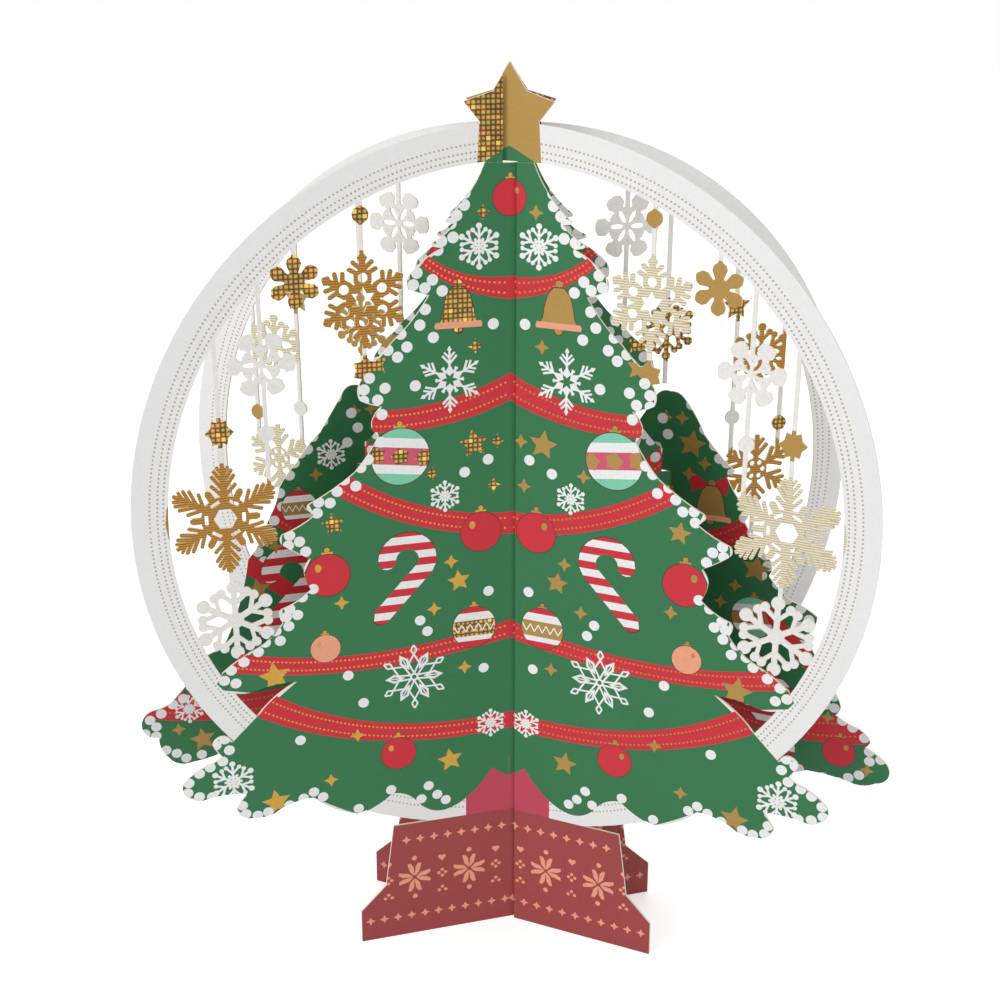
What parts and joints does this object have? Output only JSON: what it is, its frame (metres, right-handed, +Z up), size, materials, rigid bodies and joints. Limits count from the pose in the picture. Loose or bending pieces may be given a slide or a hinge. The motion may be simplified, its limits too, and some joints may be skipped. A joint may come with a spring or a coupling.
{
  "type": "pop up card",
  "caption": "Free-standing folding pop up card: crossed die-cut sheets with a decorated tree in a ring of hanging snowflakes, small trees behind and a cross-shaped stand.",
  "frame": {"origin": "on the floor, on the line where the two big sheets cross", "axes": "+Z up; +X to the right along the card's width, between the two big sheets; +Y towards the back, where the small trees are"},
  "size_m": [0.1598, 0.0554, 0.187],
  "materials": {
    "foil_card": "printed matte card with metallic foil",
    "printed_card": "printed matte card"
  },
  "bodies": {
    "sheet_a": {"tree_sheet_a": "foil_card"},
    "sheet_b": {"tree_sheet_b": "printed_card"},
    "small_a": {"small_tree_a": "foil_card"},
    "small_b": {"small_tree_b": "printed_card"}
  },
  "joints": [
    {"name": "sheets_fold", "type": "hinge", "parent": "sheet_a", "child": "sheet_b", "pos_m": [0, 0, 0], "axis": [0, 0, 1], "range_deg": [-50, 20]},
    {"name": "small_tree_a_fold", "type": "hinge", "parent": "sheet_b", "child": "small_a", "pos_m": [-0.03242, 0.0118, 0], "axis": [0, 0, 1], "range_deg": [-20, 50]},
    {"name": "small_tree_b_fold", "type": "hinge", "parent": "sheet_a", "child": "small_b", "pos_m": [0.03242, 0.0118, 0], "axis": [0, 0, 1], "range_deg": [-50, 20]}
  ],
  "couplings": [
    {"joint": "small_tree_a_fold", "follows": "sheets_fold", "ratio": -1},
    {"joint": "small_tree_b_fold", "follows": "sheets_fold", "ratio": 1}
  ]
}
